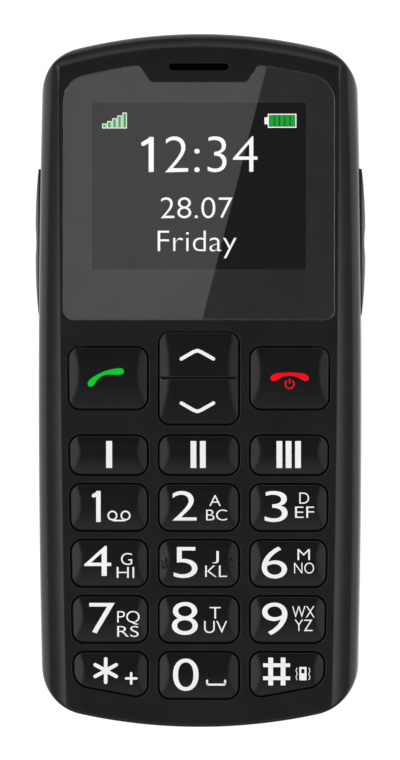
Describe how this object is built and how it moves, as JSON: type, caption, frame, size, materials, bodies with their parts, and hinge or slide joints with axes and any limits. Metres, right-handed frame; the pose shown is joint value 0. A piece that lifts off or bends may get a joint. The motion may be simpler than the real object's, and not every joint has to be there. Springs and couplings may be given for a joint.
{
  "type": "feature phone",
  "caption": "Slim candy-bar mobile phone for easy use, with a landscape colour screen, large raised keys, rocker side keys and a lift-off battery cover.",
  "frame": {"origin": "under the middle of the case, on the surface that the back lies on", "axes": "+X to the right of the screen, +Y to the ear end along the case's length, +Z out of the screen"},
  "size_m": [0.0564, 0.118, 0.0142],
  "materials": {
    "case_front": "fine satin moulding",
    "case_rear": "fine satin moulding",
    "back_cover": "fine grained moulding",
    "window": "clear plate, black border printed behind",
    "tape": "double-sided tape",
    "screen": "colour panel, lit",
    "lamp_frame": "white moulded light guide",
    "foam": "black foam",
    "flex": "amber film lead",
    "silicone": "translucent silicone",
    "spring_steel": "snap domes",
    "circuit_board": "glass-epoxy board",
    "tinned_steel": "tinned sheet",
    "chip_moulding": "moulded chips",
    "mesh": "black dust mesh",
    "speaker_can": "speaker and capsule cans",
    "tungsten": "sintered weight",
    "battery_wrap": "wrapped aluminium cell",
    "contact_moulding": "high-temperature moulding",
    "copper_sheet": "stamped sheet",
    "side_key_plastic": "satin moulding",
    "key_plastic": "semi-gloss moulding, legends printed white",
    "insert_brass": "knurled inserts",
    "screw_steel": "blackened screws"
  },
  "bodies": {
    "case": {"front_cover": "case_front", "rear_housing": "case_rear", "display_window": "window", "window_adhesive": "tape", "lcd_panel": "screen", "backlight_unit": "lamp_frame", "display_gasket": "foam", "display_flex": "flex", "keypad_mat": "silicone", "key_domes": "spring_steel", "main_board": "circuit_board", "shield_can": "tinned_steel", "board_chips": "chip_moulding", "earpiece_mesh": "mesh", "earpiece_speaker": "speaker_can", "earpiece_gasket": "foam", "loudspeaker": "speaker_can", "loudspeaker_gasket": "foam", "microphone": "speaker_can", "microphone_boot": "silicone", "vibration_motor": "tinned_steel", "battery_contacts": "contact_moulding", "sim_holder": "tinned_steel", "memory_card_holder": "tinned_steel", "usb_socket": "tinned_steel", "antenna_carrier": "contact_moulding", "antenna": "copper_sheet", "side_switches": "contact_moulding", "threaded_inserts": "insert_brass", "housing_screws": "screw_steel"},
    "battery_cover": {"battery_cover": "back_cover"},
    "motor_weight": {"motor_weight": "tungsten"},
    "battery": {"battery": "battery_wrap"},
    "left_side_key": {"left_side_key": "side_key_plastic"},
    "right_side_key": {"right_side_key": "side_key_plastic"},
    "call_key": {"call_key": "key_plastic"},
    "navigation_key": {"navigation_key": "key_plastic"},
    "end_key": {"end_key": "key_plastic"},
    "memory_key_1": {"memory_key_1": "key_plastic"},
    "memory_key_2": {"memory_key_2": "key_plastic"},
    "memory_key_3": {"memory_key_3": "key_plastic"},
    "key_1": {"key_1": "key_plastic"},
    "key_2": {"key_2": "key_plastic"},
    "key_3": {"key_3": "key_plastic"},
    "key_4": {"key_4": "key_plastic"},
    "key_5": {"key_5": "key_plastic"},
    "key_6": {"key_6": "key_plastic"},
    "key_7": {"key_7": "key_plastic"},
    "key_8": {"key_8": "key_plastic"},
    "key_9": {"key_9": "key_plastic"},
    "star_key": {"star_key": "key_plastic"},
    "key_0": {"key_0": "key_plastic"},
    "hash_key": {"hash_key": "key_plastic"}
  },
  "joints": [
    {"name": "call_press", "type": "slide", "parent": "case", "child": "call_key", "axis": [0, 0, -1], "range_m": [0, 0.0004], "stiffness_N_per_m": 2500},
    {"name": "navigation_rock", "type": "hinge", "parent": "case", "child": "navigation_key", "pos_m": [0, 0.00034, 0.01208], "axis": [1, 0, 0], "range_deg": [-2, 2], "stiffness_Nm_per_rad": 0.14},
    {"name": "end_press", "type": "slide", "parent": "case", "child": "end_key", "axis": [0, 0, -1], "range_m": [0, 0.0004], "stiffness_N_per_m": 2500},
    {"name": "memory_1_press", "type": "slide", "parent": "case", "child": "memory_key_1", "axis": [0, 0, -1], "range_m": [0, 0.0004], "stiffness_N_per_m": 2500},
    {"name": "memory_2_press", "type": "slide", "parent": "case", "child": "memory_key_2", "axis": [0, 0, -1], "range_m": [0, 0.0004], "stiffness_N_per_m": 2500},
    {"name": "memory_3_press", "type": "slide", "parent": "case", "child": "memory_key_3", "axis": [0, 0, -1], "range_m": [0, 0.0004], "stiffness_N_per_m": 2500},
    {"name": "digit_1_press", "type": "slide", "parent": "case", "child": "key_1", "axis": [0, 0, -1], "range_m": [0, 0.0004], "stiffness_N_per_m": 2500},
    {"name": "digit_2_press", "type": "slide", "parent": "case", "child": "key_2", "axis": [0, 0, -1], "range_m": [0, 0.0004], "stiffness_N_per_m": 2500},
    {"name": "digit_3_press", "type": "slide", "parent": "case", "child": "key_3", "axis": [0, 0, -1], "range_m": [0, 0.0004], "stiffness_N_per_m": 2500},
    {"name": "digit_4_press", "type": "slide", "parent": "case", "child": "key_4", "axis": [0, 0, -1], "range_m": [0, 0.0004], "stiffness_N_per_m": 2500},
    {"name": "digit_5_press", "type": "slide", "parent": "case", "child": "key_5", "axis": [0, 0, -1], "range_m": [0, 0.0004], "stiffness_N_per_m": 2500},
    {"name": "digit_6_press", "type": "slide", "parent": "case", "child": "key_6", "axis": [0, 0, -1], "range_m": [0, 0.0004], "stiffness_N_per_m": 2500},
    {"name": "digit_7_press", "type": "slide", "parent": "case", "child": "key_7", "axis": [0, 0, -1], "range_m": [0, 0.0004], "stiffness_N_per_m": 2500},
    {"name": "digit_8_press", "type": "slide", "parent": "case", "child": "key_8", "axis": [0, 0, -1], "range_m": [0, 0.0004], "stiffness_N_per_m": 2500},
    {"name": "digit_9_press", "type": "slide", "parent": "case", "child": "key_9", "axis": [0, 0, -1], "range_m": [0, 0.0004], "stiffness_N_per_m": 2500},
    {"name": "star_press", "type": "slide", "parent": "case", "child": "star_key", "axis": [0, 0, -1], "range_m": [0, 0.0004], "stiffness_N_per_m": 2500},
    {"name": "digit_0_press", "type": "slide", "parent": "case", "child": "key_0", "axis": [0, 0, -1], "range_m": [0, 0.0004], "stiffness_N_per_m": 2500},
    {"name": "hash_press", "type": "slide", "parent": "case", "child": "hash_key", "axis": [0, 0, -1], "range_m": [0, 0.0004], "stiffness_N_per_m": 2500},
    {"name": "left_side_rock", "type": "hinge", "parent": "case", "child": "left_side_key", "pos_m": [-0.0247, 0.02365, 0.00653], "axis": [0, 0, 1], "range_deg": [-1.8, 1.8], "stiffness_Nm_per_rad": 0.4},
    {"name": "right_side_rock", "type": "hinge", "parent": "case", "child": "right_side_key", "pos_m": [0.0247, 0.02365, 0.00653], "axis": [0, 0, 1], "range_deg": [-1.8, 1.8], "stiffness_Nm_per_rad": 0.4},
    {"name": "cover_lift_off", "type": "slide", "parent": "case", "child": "battery_cover", "axis": [0, 0, -1], "range_m": [0, 0.04]},
    {"name": "battery_lift_out", "type": "slide", "parent": "case", "child": "battery", "axis": [0, 0, -1], "range_m": [0, 0.02]},
    {"name": "motor_spin", "type": "hinge", "parent": "case", "child": "motor_weight", "pos_m": [-0.017, 0.0426, 0.0046], "axis": [0, 1, 0], "continuous": true}
  ],
  "couplings": [
    {"joint": "battery_lift_out", "follows": "cover_lift_off", "ratio": 0.5}
  ]
}
